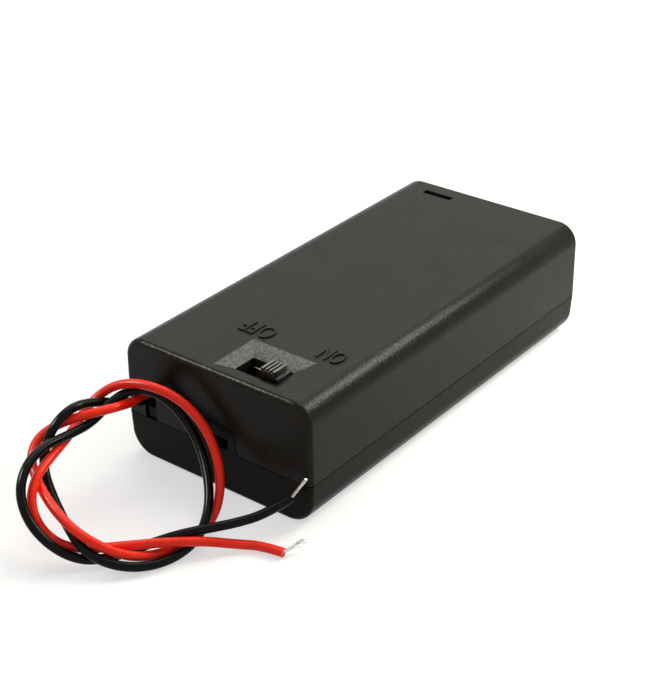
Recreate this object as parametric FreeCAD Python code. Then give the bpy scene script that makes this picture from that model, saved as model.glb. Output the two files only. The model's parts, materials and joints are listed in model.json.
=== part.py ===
# Enclosed holder for two AA cells, with a slide switch in its roof and two flying leads.
# It lies on its cover. The origin is at the bottom centre, +X across the box, +Y from the lead end to the
# hinged end, +Z up. All sizes are in millimetres.
import FreeCAD, Part
import math
import os

from FreeCAD import Vector

# Box
box_length = 68.6
box_width = 33.0
box_height = 18.9
seam_height = 6.7
seam_gap = 0.14
wall = 1.5
roof_thickness = 1.5
floor_thickness = 1.5
body_draft = 0.15
cover_draft = 0.45
top_edge_radius = 3.3
bottom_edge_radius = 3.9
end_edge_radius = 0.8
moulding_clearance = 0.15
rib_thickness = 1.2
merge = 0.1
past = 1.0

# Cells and their bay
cell_radius = 7.25
cell_side_clearance = 0.3
cradle_clearance = 0.2
cradle_pitch = 14.0
roof_cradle_depth = 2.2
floor_cradle_height = 1.1
switch_bay_length = 7.8
partition_floor_gap = 1.5
partition_side_clearance = 1.7
partition_lap = 0.5
divider_thickness = 1.2
divider_depth = 4.5

# Contacts
contact_thickness = 0.35
contact_side_clearance = 1.65
contact_end_clearance = 2.65
contact_corner_radius = 1.0
link_to_end = 3.6
link_rest_inset = 2.2
nub_radius = 2.6
nub_slope = 0.7
nub_height = 1.1
tail_width = 2.0
tail_length = 2.6
tail_below_axis = 3.8
tail_slot_clearance = 0.15
spring_wire = 0.6
spring_margin = 0.9
spring_tip_radius = 2.0
spring_free_length = 7.6
spring_turns = 5
closed_turns = 0.65
spring_steps_per_turn = 10
wire_sides = 6
spring_seat_clearance = 0.05
lug_width = 1.6
lug_height = 0.9
lug_clearance = 0.08

# Slot through the roof over the link plate
core_slot_length = 5.35
core_slot_width = 1.2
core_slot_from_side = 8.6
core_slot_to_end = 3.7

# Recess and slot in the roof, and the slide switch under it
recess_length = 11.1
recess_width = 8.35
recess_from_side = 12.05
recess_to_end = 5.65
recess_depth = 1.05
switch_to_end = 5.4
knob_slot_length = 7.0
knob_slot_width = 3.8
well_depth = 0.8
switch_travel = 3.4
knob_grip_length = 2.45
knob_grip_width = 2.7
knob_step_length = 0.45
knob_proud = 0.35
knob_step_depth = 0.95
knob_ridges = 4
ridge_groove_depth = 0.35
ridge_groove_width = 0.28
knob_foot_length = 5.2
knob_foot_width = 3.2
knob_foot_height = 1.6
frame_sheet = 0.25
frame_length = 10.2
frame_width = 5.0
frame_height = 4.7
frame_slot_clearance = 0.35
frame_seat_clearance = 0.02
frame_fold_length = 1.2
frame_fold_depth = 0.9
ear_length = 2.8
ear_width = 3.2
ear_hole_radius = 0.9
post_radius = 0.75
post_head_radius = 1.25
post_head_height = 0.5
pad_margin = 0.2
base_thickness = 1.6
base_end_clearance = 0.2
base_side_clearance = 0.03
pin_pitch = 3.0
pin_width = 0.7
pin_thickness = 0.4
pin_tail = 2.1
pin_head_margin = 0.2
pin_head_width = 1.4
pin_head_height = 0.25
wiper_strip = 0.2
wiper_width = 1.8
wiper_span = 4.2
wiper_rise = 0.7
wiper_tip_rise = 0.5
wiper_clearance = 0.05
running_clearance = 0.12

# Snap tab at the lead end, measured up from the seam
tab_width = 7.0
tab_height = 3.9
tab_thickness = 0.9
tab_corner_radius = 1.5
tab_root = 2.0
tab_foot = 0.45
tab_gap = 0.14
window_width = 4.2
window_sill = 0.25
window_height = 1.75
tab_flex_room = 0.5
catch_width = 3.8
catch_height = 1.5
catch_slope = 0.2
backing_thickness = 1.1
backing_margin = 0.8
backing_rise = 1.2

# Hooks at the hinged end and lips along the sides, measured from the seam
hook_from_side = 8.5
hook_width = 5.0
hook_rise = 2.3
hook_height = 0.6
hook_reach = 0.7
hook_stem_thickness = 0.8
hook_root = 2.7
pocket_clearance = 0.3
pocket_lift = 0.65
pocket_headroom = 0.9
lip_thickness = 0.7
lip_rise = 0.9
lip_root = 1.3
lip_from_partition = 1.2
lip_to_end = 6.3
joint_depth = 0.3

# Notch for the leads, and the finger of the cover that fills its lower part
notch_from_side = 4.45
notch_width = 2.1
notch_rise = 5.5
finger_width = 1.45
finger_rise = 1.75
finger_inset = 0.4
finger_thickness = 0.9

# Leads
lead_diameter = 1.3
jumper_diameter = 0.9
core_diameter = 0.55
strand_diameter = 0.16
bead_radius = 0.95
bead_tip_radius = 0.35
bead_length = 2.0

# Places along the leads from the solder to the free ends, where the box's lead end is at this y
route_lead_end = -34.3
red_route = (
    (3.5, -29.0, 9.2), (-0.3, -28.8, 8.8), (-3.7, -28.5, 9.3), (-7.1, -28.6, 10.0), (-10.1, -29.7, 10.6),
    (-11.9, -32.3, 11.0), (-11.9, -35.9, 11.4), (-10.9, -39.3, 12.2), (-11.0, -43.1, 13.1),
    (-13.1, -46.2, 12.8), (-15.5, -48.7, 11.8), (-16.4, -51.7, 10.7), (-15.0, -54.4, 9.3),
    (-11.8, -56.2, 7.9), (-7.4, -57.8, 6.5), (-3.0, -58.3, 5.1), (0.8, -57.2, 3.5), (3.6, -54.6, 1.8),
    (5.2, -50.6, 0.9), (5.9, -46.0, 0.7), (5.9, -41.8, 1.7), (4.7, -38.8, 4.3), (2.6, -37.0, 8.1),
    (-0.5, -36.4, 11.9), (-4.4, -37.0, 14.6), (-8.9, -38.2, 15.5), (-13.0, -39.3, 14.6),
    (-15.5, -41.1, 12.5), (-15.8, -44.0, 10.7), (-14.2, -48.0, 10.0), (-12.5, -52.6, 10.1),
    (-11.4, -56.7, 9.4), (-10.1, -59.3, 7.3), (-8.0, -59.9, 4.4), (-5.1, -59.0, 2.25), (-1.6, -56.7, 2.15),
    (2.3, -53.8, 2.75), (5.9, -50.5, 2.9), (8.9, -46.8, 2.2), (11.4, -43.7, 1.0), (14.1, -41.7, 0.8),
    (17.3, -41.2, 0.8),
)
black_route = (
    (-7.9, -26.3, 6.9), (-9.8, -28.0, 7.5), (-11.3, -30.6, 8.6), (-12.1, -34.3, 9.75), (-13.2, -38.9, 11.3),
    (-14.2, -43.2, 13.1), (-14.2, -46.9, 14.1), (-14.4, -49.9, 13.0), (-14.4, -52.1, 10.6),
    (-13.1, -53.9, 8.1), (-10.0, -55.5, 6.2), (-5.9, -57.3, 4.6), (-1.9, -58.6, 3.05), (2.0, -57.7, 1.8),
    (5.1, -54.7, 0.9), (6.9, -50.4, 0.8), (7.1, -45.9, 1.6), (5.4, -41.9, 3.7), (2.1, -38.6, 6.3),
    (-2.0, -36.2, 9.0), (-6.3, -35.3, 11.4), (-9.7, -36.0, 13.1), (-12.0, -38.4, 13.45),
    (-12.6, -41.6, 12.7), (-12.6, -45.1, 11.3), (-12.9, -49.2, 11.3), (-13.0, -53.4, 11.8),
    (-12.3, -57.4, 11.2), (-10.7, -60.4, 9.2), (-8.1, -61.6, 6.3), (-5.1, -60.9, 3.4), (-2.2, -58.9, 1.3),
    (0.1, -55.8, 0.8), (2.3, -52.4, 1.5), (5.0, -49.1, 2.6), (8.1, -45.9, 3.3), (10.9, -42.8, 3.7),
    (13.0, -39.4, 4.1), (14.3, -35.7, 5.1),
)
red_strand_ends = ((18.3, -37.9, 0.9), (18.9, -38.4, 1.5), (17.9, -38.2, 1.9))
black_strand_end = (16.7, -35.5, 9.0)

# Faces and places that follow from the sizes above
half_length = box_length / 2
half_width = box_width / 2
body_bottom = seam_height + seam_gap / 2
cover_top = seam_height - seam_gap / 2
inner_half_width = half_width - wall
ceiling = box_height - roof_thickness
lead_wall_face = -half_length + wall
far_wall_face = half_length - wall
partition_front = lead_wall_face + switch_bay_length
partition_back = partition_front + rib_thickness
link_face = half_length - link_to_end
cell_x = (inner_half_width - cell_side_clearance) / 2
cell_axis_height = (floor_thickness + ceiling) / 2
contact_width = 2 * (inner_half_width - cell_x - contact_side_clearance)
contact_height = ceiling - floor_thickness - 2 * contact_end_clearance
spring_base_radius = min(contact_width, contact_height) / 2 - spring_margin
tail_bottom = cell_axis_height - tail_below_axis
tail_top = tail_bottom + contact_thickness
recess_x = half_width - recess_from_side
recess_y = -half_length + recess_to_end
switch_y = -half_length + switch_to_end
frame_top = ceiling - well_depth - frame_seat_clearance
frame_bottom = frame_top - frame_height
base_top = frame_bottom + frame_sheet + base_thickness
pin_top = base_top + pin_head_height
pin_tip = base_top - base_thickness - pin_tail
knob_x = recess_x + switch_travel / 2
knob_foot_top = frame_top - frame_sheet - running_clearance
knob_foot_bottom = knob_foot_top - knob_foot_height
tab_top = seam_height + tab_height
tab_back = -half_length + tab_thickness + tab_flex_room
window_bottom = seam_height + window_sill
window_top = window_bottom + window_height
hook_x = half_width - hook_from_side
hook_top = seam_height + hook_rise
notch_x = -(half_width - notch_from_side)
notch_top = seam_height + notch_rise


def from_lead_end(places):
    return [(x, y - route_lead_end - half_length, z) for x, y, z in places]


red_places = from_lead_end(red_route)
black_places = from_lead_end(black_route)
red_tips = from_lead_end(red_strand_ends)
black_tips = from_lead_end([black_strand_end])


def box(x0, x1, y0, y1, z0, z1):
    return Part.makeBox(x1 - x0, y1 - y0, z1 - z0, Vector(x0, y0, z0))


def centred_box(x, y, length, width, z0, z1):
    return box(x - length / 2, x + length / 2, y - width / 2, y + width / 2, z0, z1)


def prism(points, direction):
    wire = Part.makePolygon([Vector(*p) for p in points] + [Vector(*points[0])])
    return Part.Face(wire).extrude(Vector(*direction))


def cylinder(x, y, z, radius, height, direction=(0, 0, 1)):
    return Part.makeCylinder(radius, height, Vector(x, y, z), Vector(*direction))


def edges_where(solid, test):
    return [e for e in solid.Edges if test(e)]


def runs_along_y(edge):
    ends = [v.Point for v in edge.Vertexes]
    if len(ends) != 2:
        return False
    step = ends[1] - ends[0]
    return step.Length > 1e-6 and abs(step.y) > 0.999 * step.Length


def rounded_bar(section, y0, y1, is_rounded, radius):
    # A section in XZ drawn along Y, with its chosen long edges rounded.
    bar = prism([(x, y0, z) for x, z in section], (0, y1 - y0, 0))
    picked = edges_where(bar, lambda e: runs_along_y(e) and is_rounded(e.CenterOfMass))
    return bar.makeFillet(radius, picked)


def round_ends(solid, radius, seam_z):
    # Rounds the outline of both end faces, apart from their straight edge at the seam.
    def on_end(edge):
        extent = edge.BoundBox
        flat = extent.YLength < 1e-4 and abs(abs(extent.YMin) - half_length) < 1e-4
        return flat and not (abs(extent.ZMin - seam_z) < 1e-4 and abs(extent.ZMax - seam_z) < 1e-4)

    return solid.makeFillet(radius, edges_where(solid, on_end))


def shell_section(bottom, top, half_at_bottom, half_at_top):
    return [(-half_at_bottom, bottom), (half_at_bottom, bottom), (half_at_top, top), (-half_at_top, top)]


def body_half_width(z):
    return half_width - body_draft * (z - seam_height) / (box_height - seam_height)


def cover_half_width(z):
    return half_width - cover_draft * (seam_height - z) / seam_height


def body_hollow():
    section = shell_section(
        body_bottom, ceiling, body_half_width(body_bottom) - wall, body_half_width(ceiling) - wall
    )
    return rounded_bar(
        section, lead_wall_face, far_wall_face, lambda c: c.z > ceiling - merge, top_edge_radius - wall
    )


def body_shell():
    section = shell_section(body_bottom, box_height, body_half_width(body_bottom), half_width - body_draft)
    outer = rounded_bar(
        section, -half_length, half_length, lambda c: c.z > box_height - merge, top_edge_radius
    )
    return round_ends(outer, end_edge_radius, body_bottom).cut(body_hollow())


def cover_hollow():
    section = shell_section(
        floor_thickness, cover_top,
        cover_half_width(floor_thickness) - wall, cover_half_width(cover_top) - wall,
    )
    return rounded_bar(
        section, lead_wall_face, far_wall_face, lambda c: c.z < floor_thickness + merge,
        bottom_edge_radius - wall,
    )


def cover_shell():
    section = shell_section(0, cover_top, half_width - cover_draft, cover_half_width(cover_top))
    outer = rounded_bar(section, -half_length, half_length, lambda c: c.z < merge, bottom_edge_radius)
    return round_ends(outer, end_edge_radius, cover_top).cut(cover_hollow())


def cradle_ribs(z0, z1, hollow):
    # Ribs across both cells, evenly spaced about the middle of the bay and scooped out for the cells.
    count = int((link_face - partition_back) / cradle_pitch)
    middle = (link_face + partition_back) / 2
    ribs = []
    for n in range(count):
        y = middle + (n - (count - 1) / 2) * cradle_pitch - rib_thickness / 2
        rib = box(-half_width, half_width, y, y + rib_thickness, z0, z1)
        for side in (-1, 1):
            rib = rib.cut(
                cylinder(
                    side * cell_x, y - past, cell_axis_height, cell_radius + cradle_clearance,
                    rib_thickness + 2 * past, (0, 1, 0),
                )
            )
        ribs.append(rib.common(hollow))
    return ribs


def partition(hollow):
    # Between the switch bay and the cells, held clear of the cover's walls below the seam
    upper = box(-half_width, half_width, partition_front, partition_back, body_bottom, box_height)
    lower_half = inner_half_width - partition_side_clearance
    lower = box(
        -lower_half, lower_half, partition_front, partition_back,
        floor_thickness + partition_floor_gap, body_bottom + partition_lap,
    )
    return [upper.common(hollow), lower]


def divider_and_rests():
    # The rib between the cells, and the ribs that the link plate leans on
    divider = box(
        -divider_thickness / 2, divider_thickness / 2, partition_back, link_face - contact_thickness,
        ceiling - divider_depth, ceiling + merge,
    )
    rest_x = inner_half_width - link_rest_inset
    rests = [
        box(
            x - rib_thickness / 2, x + rib_thickness / 2, link_face, far_wall_face + merge,
            body_bottom + joint_depth, ceiling + merge,
        )
        for x in (-rest_x, 0, rest_x)
    ]
    return [divider] + rests


def post_x(side):
    return recess_x + side * (frame_length + ear_length) / 2


def switch_seat():
    # Pad that the switch hangs from, and its posts with flattened heads
    reach = post_head_radius + pad_margin
    pad = box(
        post_x(-1) - reach, post_x(1) + reach, lead_wall_face - merge, partition_front + merge,
        ceiling - well_depth, ceiling + merge,
    )
    post_length = frame_sheet + frame_seat_clearance + post_head_height
    post_bottom = ceiling - well_depth - post_length
    posts = []
    for side in (-1, 1):
        posts.append(cylinder(post_x(side), switch_y, post_bottom, post_radius, post_length + merge))
        posts.append(cylinder(post_x(side), switch_y, post_bottom, post_head_radius, post_head_height))
    return [pad] + posts


def tab_backing():
    # Wall behind the snap tab
    half = tab_width / 2 + tab_gap + backing_margin
    return box(-half, half, tab_back, tab_back + backing_thickness, body_bottom, tab_top + backing_rise)


def tab_room():
    # Cut-out of the end wall that the tab lies in
    half = tab_width / 2 + tab_gap
    room = box(-half, half, -half_length - past, tab_back, body_bottom - past, tab_top + tab_gap)
    upper = edges_where(room, lambda e: runs_along_y(e) and e.CenterOfMass.z > tab_top)
    return room.makeFillet(tab_corner_radius + tab_gap, upper)


def foot_room():
    # Chamfered room for the tab's flared foot
    bottom = cover_top - merge
    top = cover_top + tab_foot + tab_gap
    half = tab_width / 2 + tab_foot + tab_gap + merge
    half_at_top = half - (top - body_bottom)
    section = [(-half, bottom), (half, bottom), (half_at_top, top), (-half_at_top, top)]
    depth = past + tab_thickness + moulding_clearance
    return prism([(x, -half_length - past, z) for x, z in section], (0, depth, 0))


def tab_catch():
    # Sloped block on the wall that shows through the tab's window
    face = -half_length + tab_thickness + moulding_clearance
    top = window_top - merge
    bottom = top - catch_height
    section = [(face, top), (tab_back + merge, top), (tab_back + merge, bottom), (face + catch_slope, bottom)]
    return prism([(-catch_width / 2, y, z) for y, z in section], (catch_width, 0, 0))


def slide_recess():
    # A truncated pyramid that narrows from the recess outline to the knob's slot
    def outline(x, y, length, width, z):
        steps = ((-1, -1), (1, -1), (1, 1), (-1, 1), (-1, -1))
        return Part.makePolygon([Vector(x + i * length / 2, y + j * width / 2, z) for i, j in steps])

    slot_top = box_height - recess_depth
    top = outline(recess_x, recess_y, recess_length, recess_width, box_height)
    floor = outline(recess_x, switch_y, knob_slot_length, knob_slot_width, slot_top)
    slot = centred_box(
        recess_x, switch_y, knob_slot_length, knob_slot_width,
        ceiling - well_depth - past, slot_top + merge / 10,
    )
    return Part.makeLoft([floor, top], True, True).fuse(slot)


def core_slot():
    return centred_box(
        -(half_width - core_slot_from_side), half_length - core_slot_to_end,
        core_slot_length, core_slot_width, ceiling - past, box_height + past,
    )


def lead_notch():
    return box(
        notch_x - notch_width / 2, notch_x + notch_width / 2,
        -half_length - past, lead_wall_face + merge / 2, body_bottom - past, notch_top,
    )


def hook_pockets():
    half = hook_width / 2 + pocket_clearance
    nose_tip = stem_face() + hook_reach
    return [
        box(
            side * hook_x - half, side * hook_x + half,
            far_wall_face - merge / 2, nose_tip + pocket_clearance,
            hook_top - hook_height - pocket_lift, hook_top + pocket_headroom,
        )
        for side in (-1, 1)
    ]


def tail_slots():
    half = tail_width / 2 + tail_slot_clearance
    return [
        box(
            side * cell_x - half, side * cell_x + half, partition_front - past, partition_back + past,
            tail_bottom - tail_slot_clearance, tail_top + tail_slot_clearance,
        )
        for side in (-1, 1)
    ]


def holder_body():
    hollow = body_hollow()
    body = body_shell().fuse(partition(hollow))
    roof_ribs = cradle_ribs(ceiling - roof_cradle_depth, ceiling + merge, hollow)
    body = body.fuse(divider_and_rests() + roof_ribs)
    body = body.fuse(switch_seat())
    body = body.fuse(tab_backing()).cut(tab_room()).fuse(tab_catch()).cut(foot_room())
    for cut in [slide_recess(), core_slot(), lead_notch()] + hook_pockets() + tail_slots():
        body = body.cut(cut)
    return body.removeSplitter()


def side_lips():
    # Lips that line up the long walls
    outer = inner_half_width - moulding_clearance - merge / 2
    inner = outer - lip_thickness
    y0, y1 = partition_back + lip_from_partition, half_length - lip_to_end
    bottom = seam_height - lip_root
    lips = []
    for side in (-1, 1):
        x0, x1 = sorted((side * inner, side * outer))
        lips.append(box(x0, x1, y0, y1, bottom, seam_height + lip_rise))
        x0, x1 = sorted((side * inner, side * (inner_half_width + joint_depth)))
        lips.append(box(x0, x1, y0, y1, bottom, cover_top - joint_depth))
    return lips


def stem_face():
    return far_wall_face - moulding_clearance - merge / 2


def hinge_hooks():
    # Hooks on the hinged end
    face = stem_face()
    inner = face - hook_stem_thickness
    root = seam_height - hook_root
    nose_bottom = hook_top - hook_height
    nose = [
        (face - merge / 2, nose_bottom), (face + hook_reach, nose_bottom),
        (face + hook_reach, hook_top - hook_height / 2), (face + hook_reach / 2, hook_top),
        (face - merge / 2, hook_top),
    ]
    hooks = []
    for side in (-1, 1):
        x0, x1 = side * hook_x - hook_width / 2, side * hook_x + hook_width / 2
        hooks.append(box(x0, x1, inner, face, root, hook_top))
        hooks.append(box(x0, x1, inner, far_wall_face + joint_depth, root, cover_top - joint_depth))
        hooks.append(prism([(x0, y, z) for y, z in nose], (hook_width, 0, 0)))
    return hooks


def snap_tab():
    # Tab with rounded upper corners and a flared foot
    half = tab_width / 2
    face = -half_length
    tab = box(-half, half, face, face + tab_thickness, cover_top - tab_root, tab_top)
    upper = edges_where(tab, lambda e: runs_along_y(e) and e.CenterOfMass.z > tab_top - merge)
    flare = half + tab_foot
    foot = [
        (-flare, cover_top - joint_depth), (flare, cover_top - joint_depth), (flare, cover_top),
        (half, cover_top + tab_foot), (-half, cover_top + tab_foot), (-flare, cover_top),
    ]
    return [
        tab.makeFillet(tab_corner_radius, upper),
        prism([(x, face, z) for x, z in foot], (0, tab_thickness, 0)),
    ]


def notch_finger():
    front = -half_length + finger_inset
    return box(
        notch_x - finger_width / 2, notch_x + finger_width / 2, front, front + finger_thickness,
        cover_top - joint_depth, seam_height + finger_rise,
    )


def battery_cover():
    floor_ribs = cradle_ribs(floor_thickness - merge, floor_thickness + floor_cradle_height, cover_hollow())
    cover = cover_shell().fuse(floor_ribs + side_lips() + hinge_hooks() + snap_tab() + [notch_finger()])
    window = box(
        -window_width / 2, window_width / 2, -half_length - past, tab_back - tab_flex_room + merge / 10,
        window_bottom, window_top,
    )
    return cover.cut(window).removeSplitter()


def coil_points():
    # Closed first and last turns, with the pitch and the taper between them
    rise = spring_free_length - spring_wire
    points = []
    for n in range(spring_turns * spring_steps_per_turn + 1):
        turn = n / spring_steps_per_turn
        along = min(max((turn - closed_turns) / (spring_turns - 2 * closed_turns), 0.0), 1.0)
        radius = spring_base_radius + (spring_tip_radius - spring_base_radius) * along
        angle = 2 * math.pi * turn
        points.append((radius * math.cos(angle), radius * math.sin(angle), rise * along))
    return points


def contact_spring(x, seat_y, direction):
    # The base turn lies on the plate's face at seat_y, and the spring narrows towards the cell.
    centre = seat_y + direction * (spring_wire / 2 + spring_seat_clearance)
    route = [Vector(x + px, centre + direction * pz, cell_axis_height + py) for px, py, pz in coil_points()]
    section = wire_section(route[0], route[1] - route[0], spring_wire)
    mitred = 1
    return Part.makePolygon(route).makePipeShell([section], True, False, mitred)


def contact_plate(x, seat_y, direction):
    # seat_y is the face that the plate's back stands on; direction points at the cell.
    bottom = cell_axis_height - contact_height / 2
    y0, y1 = sorted((seat_y, seat_y + direction * contact_thickness))
    plate = box(x - contact_width / 2, x + contact_width / 2, y0, y1, bottom, bottom + contact_height)
    return plate.makeFillet(contact_corner_radius, edges_where(plate, runs_along_y))


def solder_tail(x):
    return box(
        x - tail_width / 2, x + tail_width / 2,
        partition_front - tail_length, partition_back + contact_thickness, tail_bottom, tail_top,
    )


def nub(x, face_y, direction):
    # A raised button that meets the positive end of a cell
    place = Vector(x, face_y, cell_axis_height)
    return Part.makeCone(nub_radius, nub_radius - nub_slope, nub_height, place, Vector(0, direction, 0))


def spring_lugs(x, face_y, direction):
    # Small upstands that keep the spring's base turn in place
    lugs = []
    reach = spring_base_radius + spring_wire / 2 + lug_clearance
    y0, y1 = sorted((face_y, face_y + direction * lug_height))
    for side in (-1, 1):
        x0, x1 = sorted((side * reach, side * (reach + contact_thickness)))
        lugs.append(
            box(x + x0, x + x1, y0, y1, cell_axis_height - lug_width / 2, cell_axis_height + lug_width / 2)
        )
    return lugs


def positive_contact():
    plate = contact_plate(cell_x, partition_back, 1)
    button = nub(cell_x, partition_back + contact_thickness, 1)
    return plate.fuse([solder_tail(cell_x), button]).removeSplitter()


def negative_contact():
    plate = contact_plate(-cell_x, partition_back, 1)
    lugs = spring_lugs(-cell_x, partition_back + contact_thickness, 1)
    return plate.fuse([solder_tail(-cell_x)] + lugs).removeSplitter()


def link_plate():
    left = contact_plate(-cell_x, link_face, -1)
    right = contact_plate(cell_x, link_face, -1)
    inner_face = link_face - contact_thickness
    waist = box(
        -cell_x, cell_x, inner_face, link_face,
        cell_axis_height - contact_height / 4, cell_axis_height + contact_height / 4,
    )
    lugs = spring_lugs(cell_x, inner_face, -1)
    return left.fuse([right, waist, nub(-cell_x, inner_face, -1)] + lugs).removeSplitter()


def switch_knob():
    # The knob is at the ON end of its travel.
    grip_x0, grip_x1 = knob_x - knob_grip_length / 2, knob_x + knob_grip_length / 2
    y0, y1 = switch_y - knob_grip_width / 2, switch_y + knob_grip_width / 2
    top = box_height + knob_proud
    root = knob_foot_top - merge
    grip = box(grip_x0, grip_x1, y0, y1, root, top)
    step = box(grip_x0, grip_x1 + knob_step_length, y0, y1, root, top - knob_step_depth)
    foot = centred_box(
        knob_x, switch_y, knob_foot_length, knob_foot_width, knob_foot_bottom, knob_foot_top
    )
    knob = grip.fuse([step, foot])

    # Grooves leave ridges that run across the direction of travel
    pitch = knob_grip_length / knob_ridges
    for n in range(1, knob_ridges):
        x = grip_x0 + n * pitch
        groove = centred_box(
            x, switch_y, ridge_groove_width, knob_grip_width + 2 * past, top - ridge_groove_depth, top + past
        )
        knob = knob.cut(groove)
    pocket = centred_box(
        knob_x, switch_y, wiper_span + 2 * running_clearance, wiper_width + 2 * running_clearance,
        knob_foot_bottom - past, knob_foot_bottom + wiper_rise,
    )
    return knob.cut(pocket).removeSplitter()


def switch_wiper():
    # A folded strip with a contact foot at each end, held in the knob's pocket
    foot_z = pin_top + wiper_clearance
    roof_z = knob_foot_bottom + wiper_rise - wiper_clearance
    half = wiper_span / 2
    under = [
        (half, foot_z + wiper_tip_rise), (half - 0.35, foot_z), (half - 0.95, foot_z),
        (half - 1.5, roof_z - wiper_strip),
    ]
    over = [
        (half - 0.1, foot_z + wiper_tip_rise + wiper_strip), (half - 0.42, foot_z + wiper_strip),
        (half - 0.85, foot_z + wiper_strip), (half - 1.38, roof_z),
    ]
    right_half = over[::-1] + under
    left_half = [(-x, z) for x, z in right_half[::-1]]
    points = [(knob_x + x, switch_y - wiper_width / 2, z) for x, z in right_half + left_half]
    return prism(points, (0, wiper_width, 0))


def switch_frame():
    # A folded sheet: top with the knob's slot and two ears, and side walls round the base
    cap = centred_box(recess_x, switch_y, frame_length, frame_width, frame_bottom, frame_top)
    cap = cap.cut(
        centred_box(
            recess_x, switch_y, frame_length + 2 * past, frame_width - 2 * frame_sheet,
            frame_bottom - past, frame_top - frame_sheet,
        )
    )
    overall = frame_length + 2 * ear_length
    ears = centred_box(recess_x, switch_y, overall, ear_width, frame_top - frame_sheet, frame_top)
    cap = cap.fuse(ears)
    slot_length = knob_grip_length + 2 * knob_step_length + switch_travel + 2 * frame_slot_clearance
    slot_width = knob_grip_width + 2 * frame_slot_clearance
    cap = cap.cut(
        centred_box(
            recess_x, switch_y, slot_length, slot_width, frame_top - frame_sheet - past, frame_top + past
        )
    )
    for side in (-1, 1):
        cap = cap.cut(cylinder(post_x(side), switch_y, frame_top - past, ear_hole_radius, 2 * past))
        # Tabs folded under the base
        y = switch_y + side * (frame_width - frame_fold_depth) / 2
        for end in (-1, 1):
            x = recess_x + end * (frame_length / 2 - frame_fold_length)
            cap = cap.fuse(
                centred_box(
                    x, y, frame_fold_length, frame_fold_depth, frame_bottom, frame_bottom + frame_sheet
                )
            )
    return cap.removeSplitter()


def pin_x(number):
    return recess_x + (number - 2) * pin_pitch


def switch_base():
    plate = centred_box(
        recess_x, switch_y, frame_length - 2 * base_end_clearance,
        frame_width - 2 * (frame_sheet + base_side_clearance),
        base_top - base_thickness + base_side_clearance, base_top,
    )
    for number in (1, 2, 3):
        hole = centred_box(
            pin_x(number), switch_y, pin_width, pin_thickness, frame_bottom - past, base_top + past
        )
        plate = plate.cut(hole)
    return plate


def switch_pin(number):
    stem = centred_box(pin_x(number), switch_y, pin_width, pin_thickness, pin_tip, pin_top)
    head = centred_box(
        pin_x(number), switch_y, pin_width + 2 * pin_head_margin, pin_head_width, base_top, pin_top
    )
    return stem.fuse(head).removeSplitter()


def jumper_route():
    # Down from the third pin's tip and over to the positive tail
    start = (pin_x(3), switch_y + 0.6, pin_tip - 0.8)
    end = (cell_x, partition_front - tail_length + 1.1, tail_top + 0.35)
    below_start = (pin_x(3), start[1] + 0.9, start[2] - 0.5)
    above_end = (cell_x, end[1] - 0.2, end[2] + 1.15)
    return (start, below_start, above_end, end)


def lead_path(route):
    # Straight runs joined by tangent arcs, each as large as its two runs allow
    points = [Vector(*p) for p in route]
    edges, radii = [], []
    here = points[0]
    for before, corner, after in zip(points, points[1:], points[2:]):
        run_in, run_out = corner - before, after - corner
        turn = run_in.getAngle(run_out)
        reach = 0.45 * min(run_in.Length, run_out.Length)
        radii.append(reach / math.tan(turn / 2))
        u = Vector(run_in).normalize()
        v = Vector(run_out).normalize()
        arc_start = corner - u * reach
        arc_end = corner + v * reach
        bisector = (v - u).normalize()
        middle = corner + bisector * (radii[-1] * (1 / math.cos(turn / 2) - 1))
        edges.append(Part.LineSegment(here, arc_start).toShape())
        edges.append(Part.Arc(arc_start, middle, arc_end).toShape())
        here = arc_end
    edges.append(Part.LineSegment(here, points[-1]).toShape())
    return Part.Wire(edges), radii


def wire_section(centre, direction, diameter):
    # A plain polygon with the area of the round wire
    step = 2 * math.pi / wire_sides
    radius = diameter / 2 * math.sqrt(step / math.sin(step))
    turn = FreeCAD.Rotation(Vector(0, 0, 1), direction)
    corners = [
        centre + turn.multVec(Vector(radius * math.cos(n * step), radius * math.sin(n * step), 0))
        for n in range(wire_sides)
    ]
    return Part.makePolygon(corners + corners[:1])


def lead_tube(name, route, diameter):
    path, radii = lead_path(route)
    start, second = Vector(*route[0]), Vector(*route[1])
    lead = path.makePipeShell([wire_section(start, second - start, diameter)], True, False)
    expected = math.pi * diameter ** 2 / 4 * path.Length
    print(
        name, "length %.1f" % path.Length, "volume ratio %.4f" % (lead.Volume / expected),
        "lowest %.2f" % lead.BoundBox.ZMin, "least radius %.2f" % min(radii),
        "radii", " ".join("%.1f" % r for r in radii),
    )
    return lead


def strand(start, end, diameter):
    start, end = Vector(*start), Vector(*end)
    return Part.Face(wire_section(start, end - start, diameter)).extrude(end - start)


def bare_end(route, ends, diameter, lead):
    strands = [strand(route[-1], end, diameter) for end in ends]
    return strands[0].fuse(strands[1:]).cut(lead)


def bead(first, second):
    # A faceted spindle of solder midway between the two places that it joins
    middle = (Vector(*first) + Vector(*second)) / 2
    up = Vector(0, 0, bead_length / 2)
    sections = [
        wire_section(middle + up * level, up, 2 * radius)
        for level, radius in ((-1, bead_tip_radius), (0, bead_radius), (1, bead_tip_radius))
    ]
    return Part.makeLoft(sections, True, True)


def largest(shape):
    return max(shape.Solids, key=lambda solid: solid.Volume)


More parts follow.
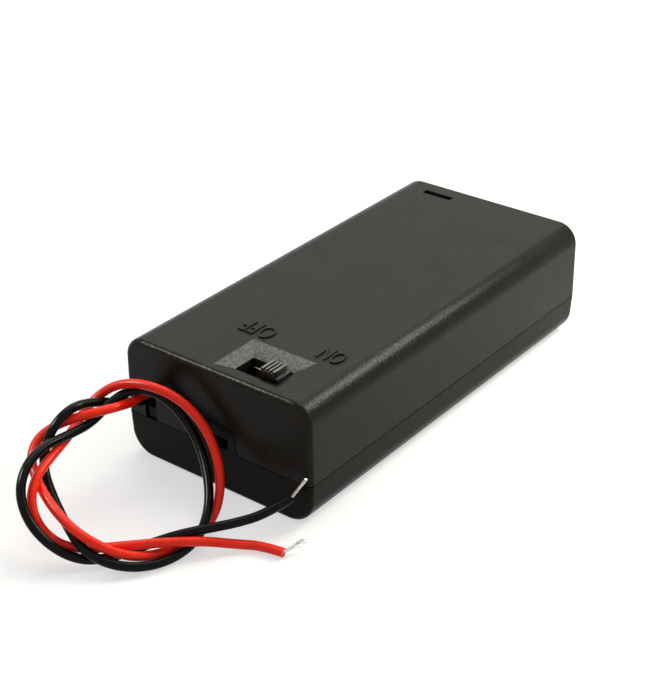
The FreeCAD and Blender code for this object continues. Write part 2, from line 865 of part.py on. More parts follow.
def solder_joints(nodes):
    # Beads where each lead meets its pin or tail, cut to the pieces that they hold
    tail_y = partition_front - tail_length + 0.7
    jumper = jumper_route()
    seats = [
        ((pin_x(2), switch_y, pin_tip), red_places[0], ("switch_pin_2", "red_lead")),
        ((pin_x(3), switch_y, pin_tip), jumper[0], ("switch_pin_3", "jumper_lead")),
        ((cell_x, tail_y, tail_top), jumper[-1], ("positive_contact", "jumper_lead")),
        ((-cell_x, tail_y, tail_top), black_places[0], ("negative_contact", "black_lead")),
    ]
    beads = []
    for place, lead_end, held in seats:
        joint = bead(place, lead_end)
        for name in held:
            joint = largest(joint.cut(nodes[name]))
        beads.append(joint)
    return Part.makeCompound(beads)


def build():
    nodes = {
        "holder_body": holder_body(),
        "battery_cover": battery_cover(),
        "switch_knob": switch_knob(),
        "switch_wiper": switch_wiper(),
        "switch_frame": switch_frame(),
        "switch_base": switch_base(),
        "positive_contact": positive_contact(),
        "negative_contact": negative_contact(),
        "negative_spring": contact_spring(-cell_x, partition_back + contact_thickness, 1),
        "link_plate": link_plate(),
        "link_spring": contact_spring(cell_x, link_face - contact_thickness, -1),
        "red_lead": lead_tube("red_lead", red_places, lead_diameter),
        "black_lead": lead_tube("black_lead", black_places, lead_diameter),
        "jumper_lead": lead_tube("jumper_lead", jumper_route(), jumper_diameter),
    }
    nodes["red_lead_strands"] = bare_end(red_places, red_tips, strand_diameter, nodes["red_lead"])
    nodes["black_lead_strands"] = bare_end(black_places, black_tips, core_diameter, nodes["black_lead"])
    for number in (1, 2, 3):
        nodes["switch_pin_%d" % number] = switch_pin(number)
    nodes["solder_joints"] = solder_joints(nodes)
    return nodes


os.makedirs("parts", exist_ok=True)
for name, shape in build().items():
    print(name, "solids", len(shape.Solids), "valid", shape.isValid(), "volume %.2f" % shape.Volume)
    shape.exportStep("parts/%s.step" % name)
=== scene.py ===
# Looks for the enclosed two-cell holder: black moulded shells, slide switch, leads and the parts inside.
# Everything is in metres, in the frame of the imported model.
import bpy
import json
import math
from mathutils import Matrix, Vector

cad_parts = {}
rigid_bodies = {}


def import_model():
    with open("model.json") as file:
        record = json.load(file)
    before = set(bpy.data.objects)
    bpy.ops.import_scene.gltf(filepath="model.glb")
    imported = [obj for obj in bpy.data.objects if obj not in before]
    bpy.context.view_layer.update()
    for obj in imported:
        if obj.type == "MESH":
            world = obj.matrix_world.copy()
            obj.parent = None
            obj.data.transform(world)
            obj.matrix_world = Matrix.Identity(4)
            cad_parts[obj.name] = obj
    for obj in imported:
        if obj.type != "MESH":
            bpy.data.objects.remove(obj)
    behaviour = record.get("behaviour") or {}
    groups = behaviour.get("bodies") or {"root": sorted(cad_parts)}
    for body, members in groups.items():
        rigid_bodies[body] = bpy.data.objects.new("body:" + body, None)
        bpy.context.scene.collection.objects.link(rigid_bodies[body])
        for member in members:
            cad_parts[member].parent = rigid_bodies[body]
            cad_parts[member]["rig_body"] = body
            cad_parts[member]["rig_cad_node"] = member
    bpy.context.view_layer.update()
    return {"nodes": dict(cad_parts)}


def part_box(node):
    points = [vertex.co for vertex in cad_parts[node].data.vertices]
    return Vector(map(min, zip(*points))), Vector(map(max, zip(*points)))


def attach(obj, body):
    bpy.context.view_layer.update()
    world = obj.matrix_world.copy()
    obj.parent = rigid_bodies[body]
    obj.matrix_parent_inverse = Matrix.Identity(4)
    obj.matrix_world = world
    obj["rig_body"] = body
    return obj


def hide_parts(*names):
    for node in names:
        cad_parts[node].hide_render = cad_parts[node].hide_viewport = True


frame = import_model()
print("frame loaded")

mm = 0.001


# Small helpers for working as by hand

def deselectAll():
    for item in bpy.context.selected_objects:
        item.select_set(False)


def makeActive(piece):
    deselectAll()
    piece.select_set(True)
    bpy.context.view_layer.objects.active = piece


def applyModifiers(piece):
    makeActive(piece)
    for modifier in list(piece.modifiers):
        bpy.ops.object.modifier_apply(modifier=modifier.name)


def settle(piece):
    # puts the place, turn and size of a finished piece into its mesh
    makeActive(piece)
    bpy.ops.object.transform_apply(location=True, rotation=True, scale=True)


def smoothByAngle(piece, degrees):
    makeActive(piece)
    bpy.ops.object.shade_smooth_by_angle(angle=math.radians(degrees))


def joinAll(pieces, name):
    makeActive(pieces[0])
    for piece in pieces[1:]:
        piece.select_set(True)
    bpy.ops.object.join()
    pieces[0].name = name
    return pieces[0]


def dress(piece, body, material, slot, *nodes):
    piece.data.materials.clear()
    piece.data.materials.append(material)
    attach(piece, body)
    if nodes:
        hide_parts(*nodes)
    return piece


merging = {"distance": 0.002 * mm, "flatDegrees": 0.4}


def mergedCopy(node, name):
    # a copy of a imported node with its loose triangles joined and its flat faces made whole
    source = frame["nodes"][node]
    piece = source.copy()
    piece.data = source.data.copy()
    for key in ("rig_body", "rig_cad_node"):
        if key in piece:
            del piece[key]
    piece.parent = None
    bpy.context.scene.collection.objects.link(piece)
    piece.name = name
    makeActive(piece)
    if piece.data.has_custom_normals:
        bpy.ops.mesh.customdata_custom_splitnormals_clear()
    bpy.ops.object.mode_set(mode="EDIT")
    bpy.ops.mesh.select_all(action="SELECT")
    bpy.ops.mesh.remove_doubles(threshold=merging["distance"])
    bpy.ops.mesh.dissolve_limited(angle_limit=math.radians(merging["flatDegrees"]))
    bpy.ops.object.mode_set(mode="OBJECT")
    return piece


edges = {"segments": 2, "sharperThan": 40}


def softenEdges(piece, width):
    bevel = piece.modifiers.new("softEdges", "BEVEL")
    bevel.width = width
    bevel.segments = edges["segments"]
    bevel.limit_method = "ANGLE"
    bevel.angle_limit = math.radians(edges["sharperThan"])
    bevel.use_clamp_overlap = True
    bevel.harden_normals = False
    applyModifiers(piece)


def keepFlatFaces(piece):
    # the broad faces keep their own normal where they meet a rounding
    modifier = piece.modifiers.new("flatFaces", "WEIGHTED_NORMAL")
    modifier.keep_sharp = True
    modifier.weight = 100
    applyModifiers(piece)


# Materials, all on object coordinates

def newMaterial(name):
    material = bpy.data.materials.new(name)
    material.use_nodes = True
    tree = material.node_tree
    tree.nodes.clear()
    output = tree.nodes.new("ShaderNodeOutputMaterial")
    shader = tree.nodes.new("ShaderNodeBsdfPrincipled")
    tree.links.new(shader.outputs["BSDF"], output.inputs["Surface"])
    coordinates = tree.nodes.new("ShaderNodeTexCoord")
    return material, tree, shader, coordinates.outputs["Object"]


def noise(tree, vector, scale, detail=2.0, rough=0.5):
    node = tree.nodes.new("ShaderNodeTexNoise")
    node.inputs["Scale"].default_value = scale
    node.inputs["Detail"].default_value = detail
    node.inputs["Roughness"].default_value = rough
    tree.links.new(vector, node.inputs["Vector"])
    return node.outputs["Fac"]


def ramp(tree, factor, low, high, lowColour, highColour):
    node = tree.nodes.new("ShaderNodeValToRGB")
    node.color_ramp.elements[0].position = low
    node.color_ramp.elements[0].color = (*lowColour, 1)
    node.color_ramp.elements[1].position = high
    node.color_ramp.elements[1].color = (*highColour, 1)
    tree.links.new(factor, node.inputs["Fac"])
    return node.outputs["Color"]


def span(tree, factor, low, high, toLow, toHigh):
    node = tree.nodes.new("ShaderNodeMapRange")
    node.inputs["From Min"].default_value = low
    node.inputs["From Max"].default_value = high
    node.inputs["To Min"].default_value = toLow
    node.inputs["To Max"].default_value = toHigh
    tree.links.new(factor, node.inputs["Value"])
    return node.outputs["Result"]


def bump(tree, shader, height, distance):
    node = tree.nodes.new("ShaderNodeBump")
    node.inputs["Distance"].default_value = distance
    node.inputs["Strength"].default_value = 1.0
    tree.links.new(height, node.inputs["Height"])
    tree.links.new(node.outputs["Normal"], shader.inputs["Normal"])
    return node


def colourAndRough(tree, shader, tint, colours, grain, roughs, middle=(0.3, 0.7)):
    # two colours and two roughnesses, each mixed by a noise
    low, high = middle
    tree.links.new(ramp(tree, tint, low, high, *colours), shader.inputs["Base Color"])
    tree.links.new(span(tree, grain, 0.3, 0.7, *roughs), shader.inputs["Roughness"])


casePlastic = {
    "dark": (0.0065, 0.0063, 0.0046),
    "light": (0.0090, 0.0088, 0.0064),
    "mottleScale": 160,
    "sparkGrain": 2700,
    "sparkHeight": 0.05 * mm,
    "rough": (0.24, 0.34),
    "gloss": 0.10,
    "sideGrain": 0.4,
    "upright": (0.05, 0.35),
}
coverPlastic = {**casePlastic, "gloss": 0.05}
# painted highlight: a much lighter, speckled colour that stands in for the lamps' reflection on the
# recess slopes facing them
recessHighlightPaint = {
    "dark": (0.001, 0.001, 0.001),
    "light": (0.082, 0.080, 0.072),
    "mottleScale": 2700,
    "sparkGrain": 3300,
    "sparkHeight": 0.12 * mm,
    "rough": (0.26, 0.36),
    "gloss": 0.38,
}
# painted shade: a near-black colour that stands in for the shade inside the knob slot and the core slot
slotShadePaint = {
    "dark": (0.0015, 0.0015, 0.0015),
    "light": (0.0025, 0.0025, 0.0025),
    "mottleScale": 400,
    "sparkGrain": 3000,
    "sparkHeight": 0.004 * mm,
    "rough": (0.7, 0.8),
    "gloss": 0.1,
}


def makeCasePlastic(name, settings):
    material, tree, shader, place = newMaterial(name)
    cloud = noise(tree, place, settings["mottleScale"], 3.0)
    grain = noise(tree, place, settings["sparkGrain"], 2.0, 0.6)
    colours = settings["dark"], settings["light"]
    colourAndRough(tree, shader, cloud, colours, grain, settings["rough"], (0.35, 0.65))
    shader.inputs["Specular IOR Level"].default_value = settings["gloss"]
    spark = bump(tree, shader, grain, settings["sparkHeight"])
    if "sideGrain" in settings:
        # the texture is shallower on upright walls, so that they leave the mould
        normal = tree.nodes.new("ShaderNodeSeparateXYZ")
        tree.links.new(place.node.outputs["Normal"], normal.inputs["Vector"])
        tilt = tree.nodes.new("ShaderNodeMath")
        tilt.operation = "ABSOLUTE"
        tree.links.new(normal.outputs["Z"], tilt.inputs[0])
        depth = span(tree, tilt.outputs[0], *settings["upright"], settings["sideGrain"], 1.0)
        tree.links.new(depth, spark.inputs["Strength"])
    return material


smoothPlastics = {
    "grain": 2500,
    "grainHeight": 0.004 * mm,
    "darker": 0.8,
    "roughSpread": (0.9, 1.15),
}


def makeSmoothPlastic(name, colour, rough):
    material, tree, shader, place = newMaterial(name)
    grain = noise(tree, place, smoothPlastics["grain"], 3.0)
    darker = tuple(smoothPlastics["darker"] * part for part in colour)
    roughs = [rough * share for share in smoothPlastics["roughSpread"]]
    colourAndRough(tree, shader, grain, (darker, colour), grain, roughs)
    bump(tree, shader, grain, smoothPlastics["grainHeight"])
    return material


metals = {
    "stains": 260,
    "darker": 0.72,
    "roughSpread": (0.7, 1.4),
    "streaks": 900,
    "streakHeight": 0.003 * mm,
    "stretch": (1, 1, 12),
}


def makeMetal(name, colour, rough, **changes):
    settings = {**metals, **changes}
    material, tree, shader, place = newMaterial(name)
    mapping = tree.nodes.new("ShaderNodeMapping")
    mapping.inputs["Scale"].default_value = settings["stretch"]
    tree.links.new(place, mapping.inputs["Vector"])
    streak = noise(tree, mapping.outputs["Vector"], settings["streaks"], 4.0, 0.6)
    stain = noise(tree, place, settings["stains"], 3.0)
    darker = tuple(settings["darker"] * part for part in colour)
    roughLow, roughHigh = (rough * share for share in settings["roughSpread"])
    tree.links.new(ramp(tree, stain, 0.3, 0.62, darker, colour), shader.inputs["Base Color"])
    tree.links.new(span(tree, streak, 0.25, 0.75, roughLow, roughHigh), shader.inputs["Roughness"])
    shader.inputs["Metallic"].default_value = 1.0
    bump(tree, shader, streak, settings["streakHeight"])
    return material


insulation = {
    "waves": 420,
    "waveHeight": 0.012 * mm,
    "marks": 2600,
    "roughSpread": (0.85, 1.2),
    "lightReach": (1.0, 0.2, 0.1),
    "lightDepth": 0.4 * mm,
}
redInsulation = {
    "dark": (0.90, 0.019, 0.005),
    "light": (0.98, 0.030, 0.008),
    "rough": 0.28,
    "gloss": 0.20,
    "glow": 0.12,
}
blackInsulation = {
    "dark": (0.0025, 0.0025, 0.0025),
    "light": (0.0045, 0.004, 0.004),
    "rough": 0.16,
    "gloss": 0.09,
}


def makeInsulation(name, settings):
    # flexible lead insulation: faint extrusion waves and slight handling marks
    material, tree, shader, place = newMaterial(name)
    wave = noise(tree, place, insulation["waves"], 2.0)
    mark = noise(tree, place, insulation["marks"], 3.0)
    roughs = [settings["rough"] * share for share in insulation["roughSpread"]]
    colourAndRough(tree, shader, wave, (settings["dark"], settings["light"]), mark, roughs)
    shader.inputs["Specular IOR Level"].default_value = settings["gloss"]
    if "glow" in settings:
        shader.inputs["Subsurface Weight"].default_value = settings["glow"]
        shader.inputs["Subsurface Radius"].default_value = insulation["lightReach"]
        shader.inputs["Subsurface Scale"].default_value = insulation["lightDepth"]
    bump(tree, shader, wave, insulation["waveHeight"])
    return material


caseMaterial = makeCasePlastic("caseSparkFinish", casePlastic)
coverMaterial = makeCasePlastic("coverSparkFinish", coverPlastic)
# painted highlight material for the lamp-facing recess slopes
recessHighlightMaterial = makeCasePlastic("recessPaintedHighlight", recessHighlightPaint)
# painted shade material for the upright walls inside the slots
slotShadeMaterial = makeCasePlastic("slotWallPaintedShade", slotShadePaint)
knobMaterial = makeSmoothPlastic("knobPlastic", (0.010, 0.009, 0.009), 0.26)
# painted highlight colour for the tops of the knob's ridges
ridgeHighlightMaterial = makeSmoothPlastic("ridgePaintedHighlight", (0.10, 0.096, 0.084), 0.3)
boardMaterial = makeSmoothPlastic("phenolicBoard", (0.20, 0.10, 0.035), 0.5)
platedMaterial = makeMetal("nickelPlate", (0.66, 0.65, 0.61), 0.28)
springMaterial = makeMetal("springWire", (0.62, 0.62, 0.60), 0.24)
brassMaterial = makeMetal("platedBrass", (0.75, 0.62, 0.34), 0.3)
tinnedMaterial = makeMetal("tinnedCopper", (0.78, 0.76, 0.74), 0.24, streaks=3000)
solderMaterial = makeMetal(
    "solder", (0.62, 0.63, 0.65), 0.2, streaks=500, streakHeight=0.01 * mm, stretch=(1, 1, 1),
)
redMaterial = makeInsulation("redInsulation", redInsulation)
blackMaterial = makeInsulation("blackInsulation", blackInsulation)
print("materials made")


# Shells

shells = {"smoothDegrees": 32}
recess = {
    "low": (-1.2 * mm, -32.9 * mm, 17.8 * mm),
    "high": (10.1 * mm, -24.4 * mm, 18.89 * mm),
    "slope": (0.05, 0.995),
    "lit": 0.2,
}
shadedSlots = {
    "knobSlot": {"low": (0.9 * mm, -30.9 * mm, 15.0 * mm), "high": (8.0 * mm, -26.9 * mm, 17.9 * mm)},
    "coreSlot": {"low": (-10.7 * mm, 29.9 * mm, 17.0 * mm), "high": (-5.1 * mm, 31.3 * mm, 18.88 * mm)},
}


def within(point, low, high):
    return all(low[n] < point[n] < high[n] for n in range(3))


def makeBodyShell():
    shell = mergedCopy("holder_body", "bodyShell")
    smoothByAngle(shell, shells["smoothDegrees"])
    keepFlatFaces(shell)
    dress(shell, "holder", caseMaterial, "case_plastic", "holder_body")
    shell.data.materials.append(recessHighlightMaterial)
    shell.data.materials.append(slotShadeMaterial)
    for face in shell.data.polygons:
        # painted highlight: recess slopes that face the lamps take the lighter material
        slopes = recess["slope"][0] < face.normal.z < recess["slope"][1]
        lit = face.normal.x > recess["lit"] or face.normal.y < -recess["lit"]
        if slopes and lit and within(face.center, recess["low"], recess["high"]):
            face.material_index = 1
        # painted shade: upright walls inside the slots take the darker material
        upright = abs(face.normal.z) < recess["slope"][0]
        inSlot = any(within(face.center, slot["low"], slot["high"]) for slot in shadedSlots.values())
        if upright and inSlot:
            face.material_index = 2
    return shell


def makeCoverShell():
    shell = mergedCopy("battery_cover", "coverShell")
    smoothByAngle(shell, shells["smoothDegrees"])
    keepFlatFaces(shell)
    return dress(shell, "cover", coverMaterial, "case_plastic", "battery_cover")


makeBodyShell()
makeCoverShell()
print("shells made")


# Raised words beside the switch, which read from the hinged end

words = {
    "height": 0.2 * mm,
    "size": 4 * mm,
    "smoothDegrees": 30,
    "off": {"text": "OFF", "x": (-4.8 * mm, 0.5 * mm), "y": (-23.6 * mm, -20.4 * mm)},
    "on": {"text": "ON", "x": (8.7 * mm, 12.4 * mm), "y": (-23.3 * mm, -20.2 * mm)},
}


def makeWord(key, name):
    word = words[key]
    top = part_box("holder_body")[1].z
    bpy.ops.object.text_add(location=(0, 0, 0), rotation=(0, 0, math.pi))
    label = bpy.context.active_object
    label.name = name
    label.data.body = word["text"]
    label.data.size = words["size"]
    label.data.extrude = words["height"]
    makeActive(label)
    bpy.ops.object.convert(target="MESH")
    settle(label)
    corners = [Vector(corner) for corner in label.bound_box]
    lowX, highX = min(c.x for c in corners), max(c.x for c in corners)
    lowY, highY = min(c.y for c in corners), max(c.y for c in corners)
    scaleX = (word["x"][1] - word["x"][0]) / (highX - lowX)
    scaleY = (word["y"][1] - word["y"][0]) / (highY - lowY)
    fit = Matrix.Translation((word["x"][0], word["y"][0], top)) @ Matrix.Diagonal((scaleX, scaleY, 1, 1))
    label.data.transform(fit @ Matrix.Translation((-lowX, -lowY, 0)))
    smoothByAngle(label, words["smoothDegrees"])
    return dress(label, "holder", caseMaterial, "case_plastic")


makeWord("off", "word_off")
makeWord("on", "word_on")
print("words made")


# Slide switch, contacts and solder

softDegrees = 40
softened = {
    "switch_knob": ("sliderKnob", "slider", knobMaterial, "knob_plastic", 0.07 * mm),
    "switch_wiper": ("sliderWiper", "slider", brassMaterial, "contact_metal", 0.03 * mm),
    "switch_frame": ("switchFrame", "holder", platedMaterial, "plated_steel", 0.05 * mm),
    "switch_base": ("switchBase", "holder", boardMaterial, "base_board", 0.08 * mm),
    "switch_pin_1": ("switchPin1", "holder", brassMaterial, "contact_metal", 0.04 * mm),
    "switch_pin_2": ("switchPin2", "holder", brassMaterial, "contact_metal", 0.04 * mm),
    "switch_pin_3": ("switchPin3", "holder", brassMaterial, "contact_metal", 0.04 * mm),
    "positive_contact": ("positivePlate", "holder", platedMaterial, "plated_steel", 0.05 * mm),
    "negative_contact": ("negativePlate", "holder", platedMaterial, "plated_steel", 0.05 * mm),
    "link_plate": ("linkPlate", "holder", platedMaterial, "plated_steel", 0.05 * mm),
    "solder_joints": ("solderBeads", "holder", solderMaterial, "solder", 0.02 * mm),
    "jumper_lead": ("jumperLead", "holder", redMaterial, "red_insulation", 0.02 * mm),
}


def makeSoftened(node):
    name, body, material, slot, width = softened[node]
    piece = mergedCopy(node, name)
    softenEdges(piece, width)
    smoothByAngle(piece, softDegrees)
    return dress(piece, body, material, slot, node)


for node in softened:
    makeSoftened(node)

knobRidges = {"highlightDepth": 0.12 * mm, "facingUp": 0.5}


def paintRidgeHighlights():
    # painted highlight: the upward-facing tops of the knob's ridges get a lighter colour, standing in
    # for the light they catch
    knob = bpy.data.objects["sliderKnob"]
    knob.data.materials.append(ridgeHighlightMaterial)
    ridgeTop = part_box("switch_knob")[1].z - knobRidges["highlightDepth"]
    for face in knob.data.polygons:
        if face.normal.z > knobRidges["facingUp"] and face.center.z > ridgeTop:
            face.material_index = 1


paintRidgeHighlights()
print("switch and contacts made")


# Coil springs

springs = {
    "wire": 0.6 * mm,
    "turns": 5.0,
    "closed": 0.65,
    "baseRadius": 4.4 * mm,
    "tipRadius": 2.0 * mm,
    "stepsPerTurn": 28,
    "roundness": 3,
    "smoothDegrees": 50,
}


def makeSpring(node, name, towards, plate):
    low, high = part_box(node)
    centreX = sum(corner.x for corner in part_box(plate)) / 2
    centreZ = sum(corner.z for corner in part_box("link_plate")) / 2
    wire = springs["wire"]
    seat = low.y if towards > 0 else high.y
    rise = (high.y - low.y) - wire
    steps = int(springs["turns"] * springs["stepsPerTurn"])
    curve = bpy.data.curves.new(name, "CURVE")
    curve.dimensions = "3D"
    line = curve.splines.new("POLY")
    line.points.add(steps)
    for n in range(steps + 1):
        turn = n / springs["stepsPerTurn"]
        openTurns = springs["turns"] - 2 * springs["closed"]
        along = min(max((turn - springs["closed"]) / openTurns, 0), 1)
        radius = springs["baseRadius"] + (springs["tipRadius"] - springs["baseRadius"]) * along
        angle = 2 * math.pi * turn
        place = (
            centreX + radius * math.cos(angle),
            seat + towards * (wire / 2 + rise * along),
            centreZ + radius * math.sin(angle),
        )
        line.points[n].co = (*place, 1)
    curve.bevel_depth = wire / 2
    curve.bevel_resolution = springs["roundness"]
    curve.use_fill_caps = True
    coil = bpy.data.objects.new(name, curve)
    bpy.context.scene.collection.objects.link(coil)
    makeActive(coil)
    bpy.ops.object.convert(target="MESH")
    coil = bpy.context.active_object
    smoothByAngle(coil, springs["smoothDegrees"])
    return dress(coil, "holder", springMaterial, "spring_steel", node)


makeSpring("negative_spring", "negativeCoil", 1, "negative_contact")
makeSpring("link_spring", "linkCoil", -1, "positive_contact")
print("springs made")


# Leads: control points in millimetres, from the solder inside to the free end

lead = {"diameter": 1.3 * mm, "stiffness": "limp", "steps": 12, "roundness": 6}
redLead = {
    "exit": (-11.9 * mm, -34.3 * mm, 11.25 * mm),
    "length": 164.0 * mm,
    "route": [
        (3.5, -29.0, 9.2), (-0.3, -28.8, 8.8), (-3.7, -28.5, 9.3), (-7.1, -28.6, 10.0),
        (-10.1, -29.7, 10.6), (-11.9, -32.3, 11.0), (-11.9, -35.9, 11.4), (-10.9, -39.3, 12.2),
        (-11.0, -43.1, 13.1), (-13.1, -46.2, 12.8), (-15.5, -48.7, 11.8), (-16.4, -51.7, 10.7),
        (-15.0, -54.4, 9.3), (-11.8, -56.2, 7.9), (-7.4, -57.8, 6.5), (-3.0, -58.3, 5.1),
        (0.8, -57.2, 3.5), (3.6, -54.6, 1.8), (5.2, -50.6, 0.9), (5.9, -46.0, 0.7),
        (5.9, -41.8, 1.7), (4.7, -38.8, 4.3), (2.6, -37.0, 8.1), (-0.5, -36.4, 11.9),
        (-4.4, -37.0, 14.6), (-8.9, -38.2, 15.5), (-13.0, -39.3, 14.6), (-15.5, -41.1, 12.5),
        (-15.8, -44.0, 10.7), (-14.2, -48.0, 10.0), (-12.5, -52.6, 10.1), (-11.4, -56.7, 9.4),
        (-10.1, -59.3, 7.3), (-8.0, -59.9, 4.4), (-5.1, -59.0, 2.25), (-1.6, -56.7, 2.15),
        (2.3, -53.8, 2.75), (5.9, -50.5, 2.9), (8.9, -46.8, 2.2), (11.4, -43.7, 1.0),
        (14.1, -41.7, 0.8), (17.3, -41.2, 0.8),
    ],
}
blackLead = {
    "exit": (-12.1 * mm, -34.3 * mm, 9.75 * mm),
    "length": 155.0 * mm,
    "route": [
        (-7.9, -26.3, 6.9), (-9.8, -28.0, 7.5), (-11.3, -30.6, 8.6), (-12.1, -34.3, 9.75),
        (-13.2, -38.9, 11.3), (-14.2, -43.2, 13.1), (-14.2, -46.9, 14.1), (-14.4, -49.9, 13.0),
        (-14.4, -52.1, 10.6), (-13.1, -53.9, 8.1), (-10.0, -55.5, 6.2), (-5.9, -57.3, 4.6),
        (-1.9, -58.6, 3.05), (2.0, -57.7, 1.8), (5.1, -54.7, 0.9), (6.9, -50.4, 0.8),
        (7.1, -45.9, 1.6), (5.4, -41.9, 3.7), (2.1, -38.6, 6.3), (-2.0, -36.2, 9.0),
        (-6.3, -35.3, 11.4), (-9.7, -36.0, 13.1), (-12.0, -38.4, 13.45), (-12.6, -41.6, 12.7),
        (-12.6, -45.1, 11.3), (-12.9, -49.2, 11.3), (-13.0, -53.4, 11.8), (-12.3, -57.4, 11.2),
        (-10.7, -60.4, 9.2), (-8.1, -61.6, 6.3), (-5.1, -60.9, 3.4), (-2.2, -58.9, 1.3),
        (0.1, -55.8, 0.8), (2.3, -52.4, 1.5), (5.0, -49.1, 2.6), (8.1, -45.9, 3.3),
        (10.9, -42.8, 3.7), (13.0, -39.4, 4.1), (14.3, -35.7, 5.1),
    ],
}


def makeLead(name, settings):
    curve = bpy.data.curves.new(name, "CURVE")
    curve.dimensions = "3D"
    curve.resolution_u = lead["steps"]
    line = curve.splines.new("NURBS")
    route = settings["route"]
    line.points.add(len(route) - 1)
    for point, (x, y, z) in zip(line.points, route):
        point.co = (x * mm, y * mm, z * mm, 1)
    line.order_u = 3
    line.use_endpoint_u = True
    line.resolution_u = lead["steps"]
    curve.bevel_depth = lead["diameter"] / 2
    curve.bevel_resolution = lead["roundness"]
    curve.use_fill_caps = True
    curve.twist_mode = "MINIMUM"
    piece = bpy.data.objects.new(name, curve)
    bpy.context.scene.collection.objects.link(piece)
    return piece


strands = {
    "red": {"wire": 0.14 * mm, "spread": 0.5 * mm, "twist": 0.9, "tip": (18.35, -38.1, 1.5)},
    "black": {"wire": 0.135 * mm, "spread": 0.02 * mm, "twist": 2.2, "tip": (16.7, -35.5, 9.0)},
    "wires": 7,
    "inside": 0.8 * mm,
    "straight": 1.2 * mm,
    "gap": 1.02,
    "unwind": 0.3,
    "shorter": 0.1,
    "shorterFrom": 0.7,
    "steps": 18,
    "roundness": 2,
    "smoothDegrees": 60,
}


def wirePoints(bundle, n, start, along):
    # one wire's points, from inside the insulation to its tip, twisted round the middle wire
    tip = Vector(bundle["tip"]) * mm
    root = start - along * strands["inside"]
    side = (tip - start).normalized().orthogonal().normalized()
    up = (tip - start).normalized().cross(side)
    phase = 2 * math.pi * n / (strands["wires"] - 1)
    for step in range(strands["steps"] + 1):
        share = step / strands["steps"]
        bend = share * share * (3 - 2 * share)
        place = root.lerp(start + along * strands["straight"], share).lerp(root.lerp(tip, share), bend)
        flare = bundle["spread"] * share ** 2 * (0.6 + 0.4 * math.sin(5 * n))
        reach = 0 if n == 0 else bundle["wire"] * strands["gap"] + flare
        angle = phase + 2 * math.pi * bundle["twist"] * share * (1 - strands["unwind"] * share)
        place = place + (side * math.cos(angle) + up * math.sin(angle)) * reach
        if share > strands["shorterFrom"]:
            place = root.lerp(place, 1 - strands["shorter"] * (n % 3) * share)
        yield place


def makeStrands(key, name, settings):
    # fine wires twisted round one another, which part towards their tips
    bundle = strands[key]
    start = Vector(settings["route"][-1]) * mm
    before = Vector(settings["route"][-2]) * mm
    along = (start - before).normalized()
    wires = []
    for n in range(strands["wires"]):
        curve = bpy.data.curves.new(name + "Wire", "CURVE")
        curve.dimensions = "3D"
        line = curve.splines.new("POLY")
        line.points.add(strands["steps"])
        for point, place in zip(line.points, wirePoints(bundle, n, start, along)):
            point.co = (*place, 1)
        curve.bevel_depth = bundle["wire"] / 2
        curve.bevel_resolution = strands["roundness"]
        curve.use_fill_caps = True
        wire = bpy.data.objects.new(name + "Wire", curve)
        bpy.context.scene.collection.objects.link(wire)
        makeActive(wire)
        bpy.ops.object.convert(target="MESH")
        wires.append(bpy.context.active_object)
    piece = joinAll(wires, name)
    smoothByAngle(piece, strands["smoothDegrees"])
    return piece


for name, settings, material, slot in (
    ("red", redLead, redMaterial, "red_insulation"),
    ("black", blackLead, blackMaterial, "black_insulation"),
):
    wires = makeStrands(name, name + "Wires", settings)
    dress(wires, "holder", tinnedMaterial, "tinned_copper", name + "_lead_strands")
    cable = makeLead(name + "Lead", settings)
    dress(cable, "holder", material, slot, name + "_lead")
    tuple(settings["exit"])
print("leads made")


# Floor, light and camera

stage = {
    "height": -0.02 * mm,
    "floor": (0.55, 0.55, 0.55),
    "glow": 0.55,
    "whiteFrom": (0.12, 0.40),
    "size": 12.0,
    "fill": 0.45,
    "backdrop": 1.0,
}


def seenDirectly(tree):
    # 1 for rays that show the white studio itself: from the camera, in gloss or through glass
    path = tree.nodes.new("ShaderNodeLightPath")
    total = path.outputs["Is Camera Ray"]
    for ray in ("Is Glossy Ray", "Is Transmission Ray"):
        either = tree.nodes.new("ShaderNodeMath")
        either.operation = "MAXIMUM"
        tree.links.new(total, either.inputs[0])
        tree.links.new(path.outputs[ray], either.inputs[1])
        total = either.outputs[0]
    return total


def makeFloor():
    bpy.ops.mesh.primitive_plane_add(size=stage["size"], location=(0, 0, stage["height"]))
    floor = bpy.context.active_object
    floor.name = "floor"
    material = bpy.data.materials.new("whiteFloor")
    material.use_nodes = True
    tree = material.node_tree
    tree.nodes.clear()
    output = tree.nodes.new("ShaderNodeOutputMaterial")
    diffuse = tree.nodes.new("ShaderNodeBsdfDiffuse")
    diffuse.inputs["Color"].default_value = (*stage["floor"], 1)
    glow = tree.nodes.new("ShaderNodeEmission")
    coordinates = tree.nodes.new("ShaderNodeTexCoord")
    distance = tree.nodes.new("ShaderNodeVectorMath")
    distance.operation = "LENGTH"
    tree.links.new(coordinates.outputs["Object"], distance.inputs[0])
    near, far = stage["whiteFrom"]
    strength = tree.nodes.new("ShaderNodeMath")
    strength.operation = "MULTIPLY"
    tree.links.new(seenDirectly(tree), strength.inputs[0])
    brighter = span(tree, distance.outputs["Value"], near, far, stage["glow"], stage["backdrop"])
    tree.links.new(brighter, strength.inputs[1])
    tree.links.new(strength.outputs[0], glow.inputs["Strength"])
    both = tree.nodes.new("ShaderNodeAddShader")
    tree.links.new(diffuse.outputs[0], both.inputs[0])
    tree.links.new(glow.outputs[0], both.inputs[1])
    tree.links.new(both.outputs[0], output.inputs["Surface"])
    floor.data.materials.append(material)


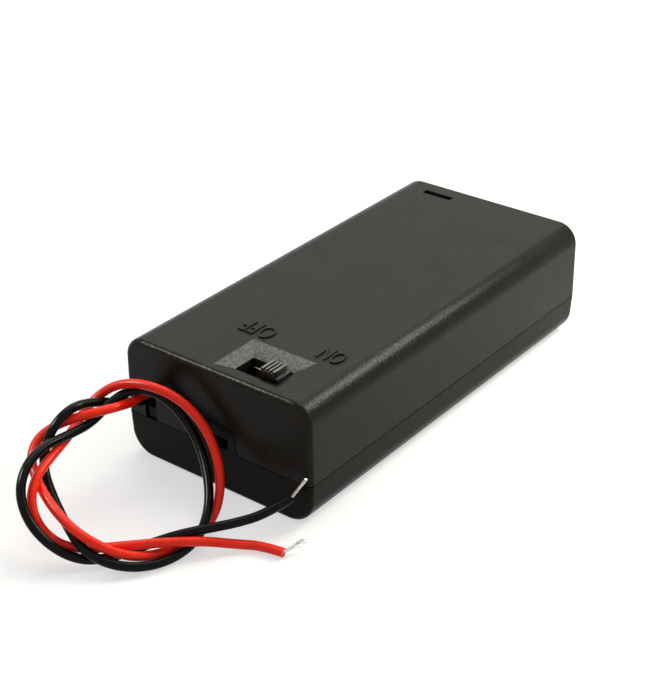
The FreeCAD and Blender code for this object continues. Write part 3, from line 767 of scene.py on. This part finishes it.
def makeWorld():
    world = bpy.data.worlds.new("studio")
    world.use_nodes = True
    tree = world.node_tree
    tree.nodes.clear()
    output = tree.nodes.new("ShaderNodeOutputWorld")
    fill = tree.nodes.new("ShaderNodeBackground")
    fill.inputs["Strength"].default_value = stage["fill"]
    seen = tree.nodes.new("ShaderNodeBackground")
    seen.inputs["Strength"].default_value = stage["backdrop"]
    for node in (fill, seen):
        node.inputs["Color"].default_value = (1, 1, 1, 1)
    mix = tree.nodes.new("ShaderNodeMixShader")
    tree.links.new(seenDirectly(tree), mix.inputs[0])
    tree.links.new(fill.outputs[0], mix.inputs[1])
    tree.links.new(seen.outputs[0], mix.inputs[2])
    tree.links.new(mix.outputs[0], output.inputs["Surface"])
    bpy.context.scene.world = world


lamps = {
    "overheadPanel": {
        "place": (-0.10, 0.16, 0.35), "aim": (0, 0, 0.01), "size": 0.36, "power": 1.05,
        "colour": (1.0, 0.98, 0.88), "glossOnly": False,
    },
    "edgeLamp": {
        "place": (0.053, 0.046, 0.080), "aim": (0.015, -0.012, 0.018), "size": 0.036, "power": 0.09,
        "colour": (1.0, 0.97, 0.84), "glossOnly": False,
    },
    "frontLamp": {
        "place": (-0.061, -0.084, 0.087), "aim": (-0.006, -0.0340, 0.0175), "size": 0.030, "power": 0.12,
        "colour": (1.0, 0.97, 0.84), "glossOnly": True,
    },
}


def makeLamp(name):
    settings = lamps[name]
    light = bpy.data.lights.new(name, "AREA")
    light.shape = "SQUARE"
    light.size = settings["size"]
    light.energy = settings["power"]
    light.color = settings["colour"]
    lamp = bpy.data.objects.new(name, light)
    bpy.context.scene.collection.objects.link(lamp)
    lamp.location = settings["place"]
    away = Vector(settings["aim"]) - Vector(settings["place"])
    lamp.rotation_euler = away.to_track_quat("-Z", "Y").to_euler()
    lamp.visible_camera = False
    lamp.visible_diffuse = not settings["glossOnly"]


cameraSetup = {
    "place": (0.12414, -0.16926, 0.12631),
    "aim": (-0.00333, -0.00562, 0.00900),
    "rollDegrees": -0.457,
    "lens": 83.60,
    "sensor": 36,
    "clip": (0.01, 20),
}


def makeCamera():
    data = bpy.data.cameras.new("camera")
    data.lens = cameraSetup["lens"]
    data.sensor_width = cameraSetup["sensor"]
    data.clip_start, data.clip_end = cameraSetup["clip"]
    camera = bpy.data.objects.new("camera", data)
    bpy.context.scene.collection.objects.link(camera)
    place = Vector(cameraSetup["place"])
    look = (Vector(cameraSetup["aim"]) - place).to_track_quat("-Z", "Y").to_matrix()
    roll = Matrix.Rotation(math.radians(cameraSetup["rollDegrees"]), 3, "Z")
    camera.matrix_world = Matrix.Translation(place) @ (look @ roll).to_4x4()
    bpy.context.scene.camera = camera


makeFloor()
makeWorld()
for lampName in lamps:
    makeLamp(lampName)
makeCamera()
bpy.context.scene.view_settings.view_transform = "Standard"
print("stage made")

deselectAll()
